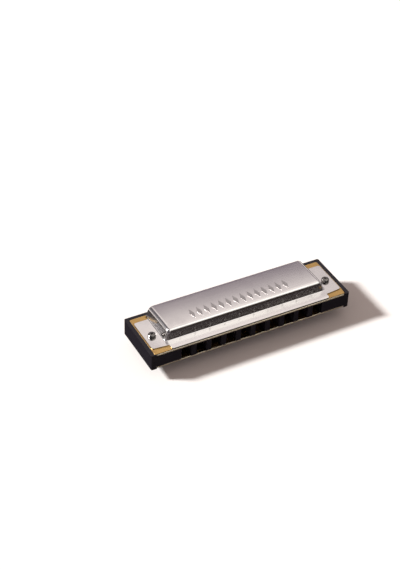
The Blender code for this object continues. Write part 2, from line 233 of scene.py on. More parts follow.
def finishPiece(obj, node):
    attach(obj, mainBody)
    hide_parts(node)


# Small helpers for shader nodes.

def addNode(tree, kind, inputs=None, **settings):
    # An input that is a socket is linked, and anything else is set.
    node = tree.nodes.new(kind)
    for key, value in settings.items():
        setattr(node, key, value)
    for key, value in (inputs or {}).items():
        if isinstance(value, bpy.types.NodeSocket):
            tree.links.new(value, node.inputs[key])
        else:
            node.inputs[key].default_value = value
    return node


def mathNode(tree, operation, a, b, clamp=False):
    return addNode(tree, "ShaderNodeMath", {0: a, 1: b}, operation=operation, use_clamp=clamp).outputs[0]


def remap(tree, value, low, high, newLow, newHigh, kind="LINEAR"):
    return addNode(tree, "ShaderNodeMapRange", {
        "Value": value, "From Min": low, "From Max": high, "To Min": newLow, "To Max": newHigh,
    }, interpolation_type=kind).outputs["Result"]


def addNoise(tree, place, scale, detail, roughness=0.5, distortion=0.0):
    return addNode(tree, "ShaderNodeTexNoise", {
        "Vector": place, "Scale": scale, "Detail": detail, "Roughness": roughness, "Distortion": distortion,
    }).outputs["Fac"]


def mixColours(tree, amount, first, second):
    first, second = (value if isinstance(value, bpy.types.NodeSocket) else (*value, 1.0)
                     for value in (first, second))
    # A colour mix has its factor and colours on these sockets.
    return addNode(tree, "ShaderNodeMix", {0: amount, 6: first, 7: second}, data_type="RGBA").outputs[2]


def addShare(tree, value, mask, amount, clamp=False):
    return mathNode(tree, "ADD", value, mathNode(tree, "MULTIPLY", mask, amount), clamp=clamp)


def tint(tree, under, mask, amount, colour):
    # Lays a colour over another where the mask shows, as strongly as amount says.
    return mixColours(tree, mathNode(tree, "MULTIPLY", mask, amount), under, colour)


def breakUp(tree, value, noise, low, high, least):
    # Lets noise between low and high fade a mask, down to the least share of it.
    return mathNode(tree, "MULTIPLY", value, remap(tree, noise, low, high, least, 1.0), clamp=True)


# Shared shader effects: each takes a place on the piece and some values, and gives masks from 0 to 1.

def newGroup(name, values, results):
    group = bpy.data.node_groups.new(name, "ShaderNodeTree")
    group.interface.new_socket("Vector", in_out="INPUT", socket_type="NodeSocketVector")
    for label, value in values.items():
        group.interface.new_socket(label, in_out="INPUT", socket_type="NodeSocketFloat").default_value = value
    for label in results:
        group.interface.new_socket(label, in_out="OUTPUT", socket_type="NodeSocketFloat")
    return group, group.nodes.new("NodeGroupInput").outputs, group.nodes.new("NodeGroupOutput").inputs


def makeGrainGroup():
    # Fine drawn lines: Along, Across and Depth are how many there are in a metre of x, y and z.
    group, given, result = newGroup(
        "drawnGrain", {"Along": 60.0, "Across": 4000.0, "Depth": 1000.0}, ["Grain", "Broad"])
    scale = addNode(group, "ShaderNodeCombineXYZ", {0: given["Along"], 1: given["Across"], 2: given["Depth"]})
    stretched = addNode(group, "ShaderNodeVectorMath", {0: given["Vector"], 1: scale.outputs[0]},
                        operation="MULTIPLY").outputs[0]
    group.links.new(addNoise(group, stretched, 1.0, 3.0, 0.7), result["Grain"])
    group.links.new(addNoise(group, stretched, 0.23, 2.0), result["Broad"])
    return group


def makeMarksGroup():
    # Soft finger marks and the haze round them.
    group, given, result = newGroup("fingerMarks", {"Size": 60.0, "Coverage": 0.5}, ["Marks", "Haze"])
    warp = addNoise(group, given["Vector"], given["Size"], 4.0, 0.6, 0.8)
    fine = addNoise(group, given["Vector"], mathNode(group, "MULTIPLY", given["Size"], 5.3), 3.0, 0.65)
    low = mathNode(group, "MULTIPLY", mathNode(group, "SUBTRACT", 1.0, given["Coverage"]), 0.9)
    haze = remap(group, warp, low, mathNode(group, "ADD", low, 0.25), 0.0, 1.0, "SMOOTHSTEP")
    group.links.new(breakUp(group, haze, fine, 0.3, 0.7, 0.35), result["Marks"])
    group.links.new(haze, result["Haze"])
    return group


def makeScratchGroup():
    # Thin hairline scratches in three directions, each turned about z and moved along x.
    group, given, result = newGroup("hairScratches", {"Density": 90.0, "Width": 0.02}, ["Scratches"])
    total = None
    for turn, along in ((0.35, 3.1), (-0.6, 7.7), (1.2, 12.9)):
        turned = addNode(group, "ShaderNodeMapping", {
            "Vector": given["Vector"], "Location": (along, 0.0, 0.0), "Rotation": (0.0, 0.0, turn),
            "Scale": (1.0, 9.0, 5.0)}).outputs[0]
        cells = addNode(group, "ShaderNodeTexVoronoi", {"Vector": turned, "Scale": given["Density"]},
                        feature="DISTANCE_TO_EDGE")
        line = remap(group, cells.outputs["Distance"], 0.0, given["Width"], 1.0, 0.0)
        gate = addNoise(group, turned, mathNode(group, "MULTIPLY", given["Density"], 0.6), 1.0)
        line = mathNode(group, "MULTIPLY", line, remap(group, gate, 0.55, 0.65, 0.0, 1.0))
        total = line if total is None else mathNode(group, "MAXIMUM", total, line)
    group.links.new(total, result["Scratches"])
    return group


def makeEdgeGroup():
    # Worn edges: where a rounded normal would turn away from the true one.
    group, given, result = newGroup("wornEdges", {"Radius": 0.0003, "Breakup": 900.0}, ["Edge"])
    rounded = addNode(group, "ShaderNodeBevel", {"Radius": given["Radius"]}, samples=4)
    surface = addNode(group, "ShaderNodeNewGeometry")
    likeness = addNode(group, "ShaderNodeVectorMath", {
        0: rounded.outputs["Normal"], 1: surface.outputs["Normal"]}, operation="DOT_PRODUCT")
    edge = remap(group, likeness.outputs["Value"], 0.99, 0.86, 0.0, 1.0)
    noise = addNoise(group, given["Vector"], given["Breakup"], 3.0)
    group.links.new(breakUp(group, edge, noise, 0.35, 0.65, 0.3), result["Edge"])
    return group


def makeGrimeGroup():
    # Painted shade, with some grime: darkens where surfaces meet, found by ambient occlusion. A place is left
    # untouched from Open upwards.
    group, given, result = newGroup(
        "cornerGrime", {"Reach": 0.0015, "Open": 0.85, "Breakup": 500.0}, ["Grime"])
    hollow = addNode(group, "ShaderNodeAmbientOcclusion", {"Distance": given["Reach"]}, samples=6)
    shadeGrime = remap(group, hollow.outputs["AO"], given["Open"], 0.4, 0.0, 1.0)
    noise = addNoise(group, given["Vector"], given["Breakup"], 4.0, 0.65)
    group.links.new(breakUp(group, shadeGrime, noise, 0.3, 0.7, 0.3), result["Grime"])
    return group


print("Making the shared shader effects")
effects = {
    "grain": makeGrainGroup(),
    "marks": makeMarksGroup(),
    "scratches": makeScratchGroup(),
    "edges": makeEdgeGroup(),
    "shadeGrime": makeGrimeGroup(),
}


def startMaterial(name):
    material = bpy.data.materials.new(name)
    material.use_nodes = True
    tree = material.node_tree
    place = addNode(tree, "ShaderNodeTexCoord").outputs["Object"]
    return material, tree, tree.nodes["Principled BSDF"], place


def useEffect(tree, effect, place, **values):
    node = addNode(tree, "ShaderNodeGroup", node_tree=effects[effect])
    tree.links.new(place, node.inputs["Vector"])
    for key, value in values.items():
        node.inputs[key].default_value = value
    return node.outputs


def coat(tree, shader, colour, rough, metallic=0.0):
    tree.links.new(colour, shader.inputs["Base Color"])
    tree.links.new(rough, shader.inputs["Roughness"])
    shader.inputs["Metallic"].default_value = metallic


def addBump(tree, shader, height, distance, strength):
    bump = addNode(tree, "ShaderNodeBump", {"Height": height, "Distance": distance, "Strength": strength})
    tree.links.new(bump.outputs["Normal"], shader.inputs["Normal"])


# Each finish: its colours, how rough it is, and how strongly wear, dirt, painted shade, painted highlights
# and grain show on it.
pressedSteel = {
    "colour": (0.79, 0.77, 0.765), "hazeColour": (0.70, 0.675, 0.68), "roughness": 0.16,
    "hazeRoughness": 0.23, "smoother": 0.035, "rougher": 0.05, "scratchRoughness": 0.05,
    "shadeAndDirt": (0.30, 0.26, 0.22), "shadeAndDirtAmount": 0.45, "wave": 0.00012, "waveScale": 70.0,
    "grainDepth": 0.000004, "scratchDepth": 0.0000015, "bump": 0.5,
}
stampedMarks = {
    **pressedSteel, "colour": (0.42, 0.40, 0.40), "hazeColour": (0.35, 0.335, 0.34), "roughness": 0.36,
    "hazeRoughness": 0.42, "wave": 0.0,
}
rubbedNumbers = {
    **pressedSteel, "colour": (0.86, 0.85, 0.83), "hazeColour": (0.80, 0.78, 0.76), "roughness": 0.28,
    "hazeRoughness": 0.34, "wave": 0.0,
}
rolledBrass = {
    "colour": (0.62, 0.40, 0.15), "stain": (0.46, 0.27, 0.09), "stainAmount": 0.6,
    "roughness": 0.27, "stainRoughness": 0.42, "smoother": 0.05, "rougher": 0.07,
    "shadeAndDirt": (0.05, 0.03, 0.018), "shadeAndDirtAmount": 0.92,
    "worn": (1.0, 0.92, 0.72), "wornAmount": 0.85, "wornRoughness": 0.25,
    # A painted shadow: a dark band on the plate just in front of the lip, between these y values.
    "lipShadow": (0.03, 0.02, 0.012), "lipShadowAmount": 0.95, "lipShadowFrom": -13.3, "lipShadowTo": -13.45,
    # A painted highlight: a bright colour and a rougher finish on the plate's front nose, between these y
    # values.
    "noseHighlight": (1.0, 0.93, 0.76), "noseHighlightRoughness": 0.45, "noseHighlightFrom": -13.74, "noseHighlightTo": -13.84,
    "grainDepth": 0.000012, "bump": 0.6,
}
filedBrass = {
    "colour": (0.86, 0.66, 0.33), "stain": (0.68, 0.46, 0.18), "stainAmount": 0.6,
    "bright": (0.93, 0.78, 0.50), "brightAmount": 0.35,
    "roughness": 0.22, "smoother": 0.06, "rougher": 0.12, "grainDepth": 0.00002, "bump": 0.7,
}
combPlastic = {
    "colour": (0.011, 0.0095, 0.0135), "worn": (0.03, 0.028, 0.032), "wornAmount": 0.7,
    "scratched": (0.09, 0.085, 0.09), "scratchAmount": 0.12,
    "roughness": 0.33, "smoother": 0.05, "rougher": 0.08, "markRoughness": 0.1, "gloss": 0.22,
    "skinScale": 2600.0, "skinDepth": 0.000015, "bump": 0.5,
}
platedSteel = {
    "colour": (0.22, 0.21, 0.205), "dull": (0.19, 0.17, 0.15), "dullAmount": 0.6,
    "worn": (0.85, 0.84, 0.82), "wornAmount": 0.5, "shadeAndDirt": (0.05, 0.04, 0.035), "shadeAndDirtAmount": 0.8,
    "roughness": 0.2, "rougher": 0.14, "turnedScale": 3000.0, "turnedDepth": 0.00001, "bump": 0.5,
}


def noiseRoughness(tree, noise, look):
    # Noise mostly lies between 0.3 and 0.7, which is spread over the finish's range.
    rough = look["roughness"]
    return remap(tree, noise, 0.3, 0.7, rough - look["smoother"], rough + look["rougher"])


def makePressedSteel(name, look):
    material, tree, shader, place = startMaterial(name)
    grain = useEffect(tree, "grain", place, Along=70.0, Across=5200.0, Depth=5200.0)
    marks = useEffect(tree, "marks", place, Size=48.0, Coverage=0.46)
    scratches = useEffect(tree, "scratches", place, Density=110.0, Width=0.012)
    shadeGrime = useEffect(tree, "shadeGrime", place, Reach=0.0012, Breakup=700.0)
    colour = mixColours(tree, marks["Marks"], look["colour"], look["hazeColour"])
    # Painted shade, with some grime: the steel is darker where surfaces meet, in folds and round the marks.
    colour = tint(tree, colour, shadeGrime["Grime"], look["shadeAndDirtAmount"], look["shadeAndDirt"])
    rough = noiseRoughness(tree, grain["Grain"], look)
    rough = addShare(tree, rough, marks["Marks"], look["hazeRoughness"] - look["roughness"])
    rough = addShare(tree, rough, scratches["Scratches"], look["scratchRoughness"], clamp=True)
    coat(tree, shader, colour, rough, metallic=1.0)
    height = mathNode(tree, "MULTIPLY", addNoise(tree, place, look["waveScale"], 1.0), look["wave"])
    height = addShare(tree, height, grain["Grain"], look["grainDepth"])
    height = addShare(tree, height, scratches["Scratches"], -look["scratchDepth"])
    addBump(tree, shader, height, 1.0, look["bump"])
    return material


def makeRolledBrass():
    look = rolledBrass
    material, tree, shader, place = startMaterial("rolled_brass")
    grain = useEffect(tree, "grain", place, Along=90.0, Across=3600.0, Depth=3600.0)
    marks = useEffect(tree, "marks", place, Size=95.0, Coverage=0.55)
    shadeGrime = useEffect(tree, "shadeGrime", place, Reach=0.0012, Open=0.97, Breakup=600.0)
    edges = useEffect(tree, "edges", place, Radius=0.0004, Breakup=800.0)
    colour = tint(tree, look["colour"], marks["Haze"], look["stainAmount"], look["stain"])
    # Painted shade: the brass turns near-black where it meets the lip, the flange edges and the comb.
    colour = tint(tree, colour, shadeGrime["Grime"], look["shadeAndDirtAmount"], look["shadeAndDirt"])
    colour = tint(tree, colour, edges["Edge"], look["wornAmount"], look["worn"])
    # Painted shadow in a dark band just in front of the lip, and a painted highlight along the plate's front
    # nose.
    along = addNode(tree, "ShaderNodeSeparateXYZ", {0: place}).outputs["Y"]
    lipShadow = remap(tree, along, look["lipShadowFrom"] * mm, look["lipShadowTo"] * mm, 0.0, look["lipShadowAmount"])
    colour = mixColours(tree, lipShadow, colour, look["lipShadow"])
    # Painted highlight along the plate's front nose.
    noseHighlight = remap(tree, along, look["noseHighlightFrom"] * mm, look["noseHighlightTo"] * mm, 0.0, 1.0)
    colour = mixColours(tree, noseHighlight, colour, look["noseHighlight"])
    rough = noiseRoughness(tree, grain["Grain"], look)
    rough = addShare(tree, rough, marks["Marks"], look["stainRoughness"] - look["roughness"])
    rough = addShare(tree, rough, edges["Edge"], look["wornRoughness"])
    rough = addShare(tree, rough, noseHighlight, look["noseHighlightRoughness"], clamp=True)
    coat(tree, shader, colour, rough, metallic=1.0)
    addBump(tree, shader, grain["Grain"], look["grainDepth"], look["bump"])
    return material


def makeFiledBrass():
    look = filedBrass
    material, tree, shader, place = startMaterial("filed_brass")
    grain = useEffect(tree, "grain", place, Along=5200.0, Across=260.0, Depth=900.0)
    marks = useEffect(tree, "marks", place, Size=240.0, Coverage=0.5)
    colour = tint(tree, look["colour"], marks["Haze"], look["stainAmount"], look["stain"])
    bright = remap(tree, grain["Broad"], 0.4, 0.65, 0.0, look["brightAmount"])
    colour = mixColours(tree, bright, colour, look["bright"])
    coat(tree, shader, colour, noiseRoughness(tree, grain["Grain"], look), metallic=1.0)
    addBump(tree, shader, grain["Grain"], look["grainDepth"], look["bump"])
    return material


def makeCombPlastic():
    look = combPlastic
    material, tree, shader, place = startMaterial("comb_plastic")
    marks = useEffect(tree, "marks", place, Size=70.0, Coverage=0.5)
    edges = useEffect(tree, "edges", place, Radius=0.00028, Breakup=900.0)
    scratches = useEffect(tree, "scratches", place, Density=170.0, Width=0.012)
    colour = tint(tree, look["colour"], edges["Edge"], look["wornAmount"], look["worn"])
    colour = tint(tree, colour, scratches["Scratches"], look["scratchAmount"], look["scratched"])
    skin = addNoise(tree, place, look["skinScale"], 3.0, 0.6)
    rough = noiseRoughness(tree, skin, look)
    rough = addShare(tree, rough, marks["Marks"], look["markRoughness"], clamp=True)
    coat(tree, shader, colour, rough)
    shader.inputs["Specular IOR Level"].default_value = look["gloss"]
    addBump(tree, shader, skin, look["skinDepth"], look["bump"])
    return material


def makePlatedSteel():
    look = platedSteel
    material, tree, shader, place = startMaterial("plated_steel")
    marks = useEffect(tree, "marks", place, Size=420.0, Coverage=0.5)
    edges = useEffect(tree, "edges", place, Radius=0.00012, Breakup=2500.0)
    shadeGrime = useEffect(tree, "shadeGrime", place, Reach=0.0006, Breakup=1500.0)
    colour = tint(tree, look["colour"], marks["Marks"], look["dullAmount"], look["dull"])
    colour = tint(tree, colour, edges["Edge"], look["wornAmount"], look["worn"])
    # Painted shade, with some grime: slots, recesses and the joins under the heads are darkened.
    colour = tint(tree, colour, shadeGrime["Grime"], look["shadeAndDirtAmount"], look["shadeAndDirt"])
    rough = remap(tree, marks["Marks"], 0.0, 1.0, look["roughness"], look["roughness"] + look["rougher"])
    coat(tree, shader, colour, rough, metallic=1.0)
    addBump(tree, shader, addNoise(tree, place, look["turnedScale"], 2.0), look["turnedDepth"], look["bump"])
    return material


print("Making the finishes")
coverSteel = makePressedSteel("pressed_steel", pressedSteel)
stampedSteel = makePressedSteel("stamped_steel", stampedMarks)
numberSteel = makePressedSteel("number_steel", rubbedNumbers)
plateBrass = makeRolledBrass()
reedBrass = makeFiledBrass()
blackPlastic = makeCombPlastic()
screwSteel = makePlatedSteel()


# Covers: one pressed sheet with a hood, turned over for the lower one.

cover = {
    "sheet": 0.4, "level": 4.38, "top": 9.45,
    "footX": 41.3, "footY": -8.0, "backY": 12.2, "endLean": 20.0, "frontLean": 7.0,
    "crest": 1.95, "endRound": 1.5, "fold": 0.45, "flatEndY": -5.0, "backDrop": 0.75,
    "rows": (-3.0, -1.0, 1.0, 3.0, 5.0, 7.0, 9.1, 10.5), "hem": 0.45, "hemTurn": 1.3, "hemHalf": 38.6,
    "lipHalf": 40.6, "lipFront": -13.4, "lipTaper": 1.2, "lipTurn": 5.0, "lipUndercut": 0.26,
    "flangeHalf": 48.6, "flangeFront": -9.9, "flangeSlope": 0.7, "flangeBack": 9.1, "corner": 1.0,
    "cutEdge": 0.07,
}
# The bolts pass through the covers, the plates and the comb, so their sizes stand here.
bolts = {
    "x": 45.0, "y": -2.2, "hole": 1.15, "shank": 1.0, "head": 1.8, "headHeight": 1.5, "turn": 40.0,
    "crossArm": 1.05, "crossWidth": 0.5, "crossDepth": 0.8, "proud": 0.5, "pitch": 0.4, "threadDepth": 0.14,
    "threaded": 3.4, "point": 0.3, "rim": 0.1, "edge": 0.04,
    "dome": ((1.0, 0.6), (0.97, 0.74), (0.88, 0.86), (0.72, 0.94), (0.5, 0.98), (0.25, 1.0)),
    "nutFlats": 4.0, "nutHeight": 1.6, "nutBore": 1.05, "nutChamfer": 0.22, "boreChamfer": 0.2,
}


def cutFlatSheet():
    # The sheet lies flat at first, with an opening where the hood will rise.
    c, level = cover, mid + cover["level"]
    seamY = c["flangeFront"] - c["flangeSlope"] / 2
    sheet = addBlock("upper_cover_fine", (-c["flangeHalf"], c["lipFront"], level - 1),
                     (c["flangeHalf"], c["flangeBack"], level))
    startEdit(sheet)
    pickFaces(lambda middle, normal: normal.z < 0.5)
    bpy.ops.mesh.delete(type="FACE")
    for x in (-c["footX"], c["footX"]):
        sliceFaces(anyFace, (x, 0, 0), (1, 0, 0))
    for y in (seamY, c["footY"]):
        sliceFaces(anyFace, (0, y, 0), (0, 1, 0))
    for x in (-c["lipHalf"], c["lipHalf"]):
        sliceFaces(lambda middle, normal: middle.y < seamY, (x, 0, 0), (1, 0, 0))
    pickFaces(lambda middle, normal: (abs(middle.x) > c["lipHalf"] and middle.y < seamY)
              or (abs(middle.x) < c["footX"] and middle.y > c["footY"]))
    bpy.ops.mesh.delete(type="FACE")
    pickFaces(anyFace)
    bpy.ops.mesh.dissolve_faces()
    pickPoints(lambda spot: near(spot.y, seamY) and abs(spot.x) > c["footX"] + 1)
    moveBy(0, c["flangeSlope"] / 2, 0)
    pickPoints(lambda spot: near(spot.y, seamY) and abs(spot.x) < c["footX"] + 1)
    moveBy(0, -c["flangeSlope"] / 2, 0)
    pickPoints(lambda spot: near(spot.y, c["lipFront"]) or (near(abs(spot.x), c["flangeHalf"])
               and (near(spot.y, c["flangeFront"]) or near(spot.y, c["flangeBack"]))))
    roundPicked(c["corner"], 5, "VERTICES")
    return sheet


def raiseHood(hoodEnd):
    # Its walls are pulled up from the opening, leant in and closed by a top that falls to the back.
    c, level, top = cover, mid + cover["level"], mid + cover["top"]

    def onFoot(spot):
        inside = abs(spot.x) < c["footX"] + slack and spot.y > c["footY"] - slack
        return inside and (near(abs(spot.x), c["footX"]) or near(spot.y, c["footY"]))

    pickEdges(lambda edge, a, b: onFoot(a) and onFoot(b))
    pullOut(0, 0, top - level)
    endShift = (top - level) * math.tan(math.radians(c["endLean"]))
    for side in (-1, 1):
        pickPoints(lambda spot: near(spot.z, top) and spot.x * side > 0)
        moveBy(-side * endShift, 0, 0)
    pickPoints(lambda spot: near(spot.z, top) and near(spot.y, c["footY"]))
    moveBy(0, (top - level) * math.tan(math.radians(c["frontLean"])), 0)
    pickEdges(lambda edge, a, b: near(a.z, top) and near(b.z, top))
    bpy.ops.mesh.edge_face_add()
    pickEdges(lambda edge, a, b: near(a.y, c["flangeBack"]) and near(b.y, c["flangeBack"])
              and max(abs(a.x), abs(b.x)) < c["footX"] + slack)
    pullOut(0, hoodEnd - c["flangeBack"], 0)
    for y in c["rows"]:
        sliceFaces(lambda middle, normal: middle.z > level + 0.1, (0, y, 0), (0, 1, 0))
    for y in c["rows"] + (hoodEnd,):
        pickPoints(lambda spot: near(spot.y, y) and near(spot.z, top))
        moveBy(0, 0, -c["backDrop"] * ((y - c["flatEndY"]) / (c["backY"] - c["flatEndY"])) ** 2)


def roundHood():
    c, level, top = cover, mid + cover["level"], mid + cover["top"]

    def atCrest(edge, a, b):
        return near(a.z, top) and near(b.z, top) and near(a.y, b.y) and a.y < c["footY"] + 2

    def atEnd(edge, a, b):
        if len(edge.link_faces) != 2 or max(a.z, b.z) < level + 0.1:
            return False
        leans = sorted(abs(face.normal.x) for face in edge.link_faces)
        return leans[0] < 0.3 and leans[1] > 0.8

    def atFold(edge, a, b):
        return len(edge.link_faces) == 2 and max(a.z, b.z) <= level + slack and edge.calc_face_angle() > 0.5

    for rule, width, segments in (
            (atCrest, c["crest"], 8), (atEnd, c["endRound"], 5), (atFold, c["fold"], 3)):
        pickEdges(rule)
        roundPicked(width, segments)


def rollHem(hoodEnd):
    # The back edge is rolled under in a half circle and turned forward.
    c, steps = cover, 6

    def atBack(spot):
        return abs(spot.x) < c["hemHalf"] and near(spot.y, hoodEnd, 0.1) and spot.z > mid + c["level"] + 2

    pickEdges(lambda edge, a, b: atBack(a) and atBack(b) and len(edge.link_faces) == 1)
    turns = [math.pi * (0.5 - step / steps) for step in range(steps + 1)]
    for first, second in zip(turns, turns[1:]):
        across, down = math.cos(second) - math.cos(first), math.sin(second) - math.sin(first)
        pullOut(0, c["hem"] * across, c["hem"] * down)
    pullOut(0, -c["hemTurn"], 0.05)


def faceUp(obj):
    # An open sheet must face outwards before it gets its thickness.
    total = sum(face.normal.z * face.area for face in obj.data.polygons)
    if total < 0:
        startEdit(obj)
        bpy.ops.mesh.select_all(action="SELECT")
        bpy.ops.mesh.flip_normals()
        endEdit()


def pressSheet():
    c, level = cover, mid + cover["level"]
    hoodEnd = c["backY"] - c["hem"]
    sheet = cutFlatSheet()
    raiseHood(hoodEnd)
    roundHood()
    rollHem(hoodEnd)
    bpy.ops.mesh.select_all(action="SELECT")
    bpy.ops.mesh.normals_make_consistent(inside=False)
    endEdit()
    faceUp(sheet)
    sheet.data.materials.append(coverSteel)
    applyModifier(sheet, "SOLIDIFY", thickness=c["sheet"] * mm, offset=-1, use_even_offset=True)
    # The lip's front edge is pressed down and cut back underneath, clear of the plate.
    taperY = c["lipFront"] + c["lipTaper"]
    startEdit(sheet)
    sliceFaces(lambda middle, normal: normal.z > 0.99 and near(middle.z, level), (0, taperY, 0), (0, 1, 0))
    pickPoints(lambda spot: spot.y < taperY - 0.01 and near(spot.z, level))
    bpy.ops.transform.rotate(value=math.radians(-c["lipTurn"]), orient_axis="X",
                             center_override=(0, taperY * mm, level * mm))
    pickPoints(lambda spot: near(spot.y, c["lipFront"]) and near(spot.z, level - c["sheet"]))
    moveBy(0, 0, c["lipUndercut"])
    endEdit()
    cutWith(sheet, *[addRod("bolt_hole", x, bolts["y"], level - 2, level + 2, bolts["hole"])
                     for x in (-bolts["x"], bolts["x"])])
    softenEdges(sheet, c["cutEdge"], 2, 55)
    return sheet


ornament = {
    "count": 14, "pitch": 3.7, "middleX": -0.6, "middleY": -1.4, "wide": 2.3, "tall": 6.6,
    "rise": 0.05, "foot": 0.3, "border": 0.28, "bevel": 0.03, "dish": 0.6, "edge": 0.015,
}
numbers = {"size": 2.2, "rise": 0.05, "height": 1.4}


def addLozenge(index):
    # A shallow four-sided mark with a border and a slightly dished middle.
    o = ornament
    x = o["middleX"] + (index - (o["count"] - 1) / 2) * o["pitch"]
    z = mid + cover["top"] + (o["rise"] - o["foot"]) / 2
    deselectAll()
    bpy.ops.mesh.primitive_cylinder_add(vertices=4, radius=0.5 * mm, depth=(o["rise"] + o["foot"]) * mm,
                                        location=(x * mm, o["middleY"] * mm, z * mm))
    lozenge = bpy.context.object
    lozenge.scale = (o["wide"], o["tall"], 1)
    settle(lozenge)
    startEdit(lozenge)
    pickFaces(lambda middle, normal: normal.z > 0.9)
    bpy.ops.mesh.inset(thickness=o["border"] * mm, depth=0)
    bpy.ops.mesh.inset(thickness=o["bevel"] * mm, depth=-o["rise"] * o["dish"] * mm)
    endEdit()
    softenEdges(lozenge, o["edge"], 1, 25)
    lozenge.data.materials.append(stampedSteel)
    return lozenge


def addNumber(index):
    # Stands on the hood's front wall, over its hole.
    n, lean = numbers, math.radians(cover["frontLean"])
    y = cover["footY"] + n["height"] * math.tan(lean)
    z = mid + cover["level"] + n["height"]
    deselectAll()
    bpy.ops.object.text_add(location=(holeX(index) * mm, y * mm, z * mm), rotation=(math.pi / 2 - lean, 0, 0))
    text = bpy.context.object
    text.data.body = str(index + 1)
    text.data.size = n["size"] * mm
    text.data.extrude = n["rise"] * mm
    text.data.align_x, text.data.align_y = "CENTER", "CENTER"
    text.data.resolution_u = 3
    choose(text)
    bpy.ops.object.convert(target="MESH")
    number = settle(bpy.context.object)
    startEdit(number)
    bpy.ops.mesh.select_all(action="SELECT")
    bpy.ops.mesh.remove_doubles(threshold=1e-6)
    bpy.ops.mesh.dissolve_limited(angle_limit=math.radians(1))
    endEdit()
    paint(number, numberSteel)
    return number


def makeCovers():
    sheet = pressSheet()
    sheet = joinAll([sheet] + [addLozenge(index) for index in range(ornament["count"])], "upper_cover_fine")
    lower = copyPiece(sheet, "lower_cover_fine", shift(0, 0, mid) @ turnBy(180, "Y") @ shift(0, 0, -mid))
    upper = joinAll([sheet] + [addNumber(index) for index in range(holeRow["count"])], "upper_cover_fine")
    for piece, node in ((upper, "upper_cover"), (lower, "lower_cover")):
        smoothShade(piece, 40)
        finishPiece(piece, node)


print("Pressing the covers")
makeCovers()


# Comb: a black plastic block with ten chambers, a recess on each side and holes for the plates' screws.

comb = {
    "halfX": 51.0, "halfY": 14.05, "rim": 4.1, "web": 2.9, "corner": 0.7, "edge": 0.14,
    "recessX": 49.3, "recessBack": 12.55, "recessFrontCorner": 1.7, "recessBackCorner": 0.9,
    "chamber": 2.5, "chamberCorner": 0.35, "endLow": 10.8, "endHigh": 6.0,
}
plateScrews = {
    "front": ((-15.0, -3.2), (15.0, -3.2)), "back": ((-30.0, 10.9), (0.0, 10.9), (30.0, 10.9)),
    "hole": 0.75, "holeDepth": 2.85, "shank": 0.7, "head": 1.25, "headHeight": 0.7, "length": 3.6,
    "point": 0.7, "tip": 0.12, "pitch": 0.35, "threadDepth": 0.1, "plain": 0.3,
    "slot": 0.3, "slotDepth": 0.35, "upperTurn": 25.0, "lowerTurn": 35.0, "rim": 0.05, "edge": 0.03,
    # The head's side and top, as shares of its radius and height.
    "dome": ((1.0, 0.6), (0.95, 0.78), (0.82, 0.9), (0.6, 0.97), (0.3, 1.0)),
}


def roundCorners(obj, rule, width, segments):
    startEdit(obj)
    pickEdges(lambda edge, a, b: near(a.x, b.x) and near(a.y, b.y) and rule(a))
    roundPicked(width, segments)
    endEdit()


def makeComb():
    c, s = comb, plateScrews
    body = addBlock("comb_fine", (-c["halfX"], -c["halfY"], mid - c["rim"]),
                    (c["halfX"], c["halfY"], mid + c["rim"]))
    roundCorners(body, lambda spot: True, c["corner"], 6)
    for side in (-1, 1):
        low, high = sorted((mid + side * c["web"], mid + side * (c["rim"] + 1)))
        recess = addBlock("recess", (-c["recessX"], -c["halfY"] - 0.2, low),
                          (c["recessX"], c["recessBack"], high))
        roundCorners(recess, lambda spot: spot.y < 0, c["recessFrontCorner"], 6)
        roundCorners(recess, lambda spot: spot.y > 0, c["recessBackCorner"], 4)
        cutWith(body, recess)
    chambers = []
    for index in range(holeRow["count"]):
        x, end = holeX(index), alongScale(c["endLow"], c["endHigh"], index)
        chamber = addBlock("chamber", (x - c["chamber"], -c["halfY"] - 1, mid - c["rim"] - 1),
                           (x + c["chamber"], end, mid + c["rim"] + 1))
        roundCorners(chamber, lambda spot: spot.y > 0, c["chamberCorner"], 3)
        chambers.append(chamber)
    cutWith(body, joinAll(chambers, "chambers"))
    softenEdges(body, c["edge"], 2, 50)
    through = 6
    holes = [addRod("hole", x, bolts["y"], mid - through, mid + through, bolts["hole"], 24)
             for x in (-bolts["x"], bolts["x"])]
    for x, y in s["front"] + s["back"]:
        for side in (-1, 1):
            low, high = sorted((mid + side * (c["web"] - s["holeDepth"]), mid + side * through))
            holes.append(addRod("hole", x, y, low, high, s["hole"], 20))
    cutWith(body, joinAll(holes, "holes"))
    smoothShade(body, 35)
    paint(body, blackPlastic)
    finishPiece(body, "comb")


print("Moulding the comb")
makeComb()


# Reed plates.

plates = {
    "halfX": 49.2, "front": -14.0, "back": 12.45, "inner": 2.94, "outer": 3.94,
    "frontCorner": 1.6, "backCorner": 0.8, "edge": 0.15, "frontEdge": 0.42, "slotEdge": 0.04,
}
reeds = {
    "thickness": 0.25, "padWidth": 2.8, "padFront": 1.5, "padBack": 1.4, "shoulder": 0.4, "width": 2.1,
    "long": 14.4, "short": 7.4, "sideGap": 0.1, "tipGap": 0.15, "blowSetback": 1.9, "drawY": -6.0,
    "offset": 0.245, "rivetHole": 0.52, "edge": 0.02, "bend": 0.35,
    # How thick the filed tongue is along its length, from the pad to the tip.
    "filed": ((0.0, 0.25), (0.08, 0.2), (0.2, 0.17), (0.35, 0.15), (0.5, 0.14), (0.65, 0.145), (0.8, 0.16),
              (0.9, 0.18), (1.0, 0.18)),
}


def reedPlaces(kind):
    # For each hole: its x, the rivet's y, the way the tongue points and the tongue's length.
    places = []
    for index in range(holeRow["count"]):
        length = alongScale(reeds["long"], reeds["short"], index)
        if kind == "blow":
            rivetY = alongScale(comb["endLow"], comb["endHigh"], index) - reeds["blowSetback"]
            places.append((holeX(index), rivetY, -1, length))
        else:
            places.append((holeX(index), reeds["drawY"], 1, length))
    return places


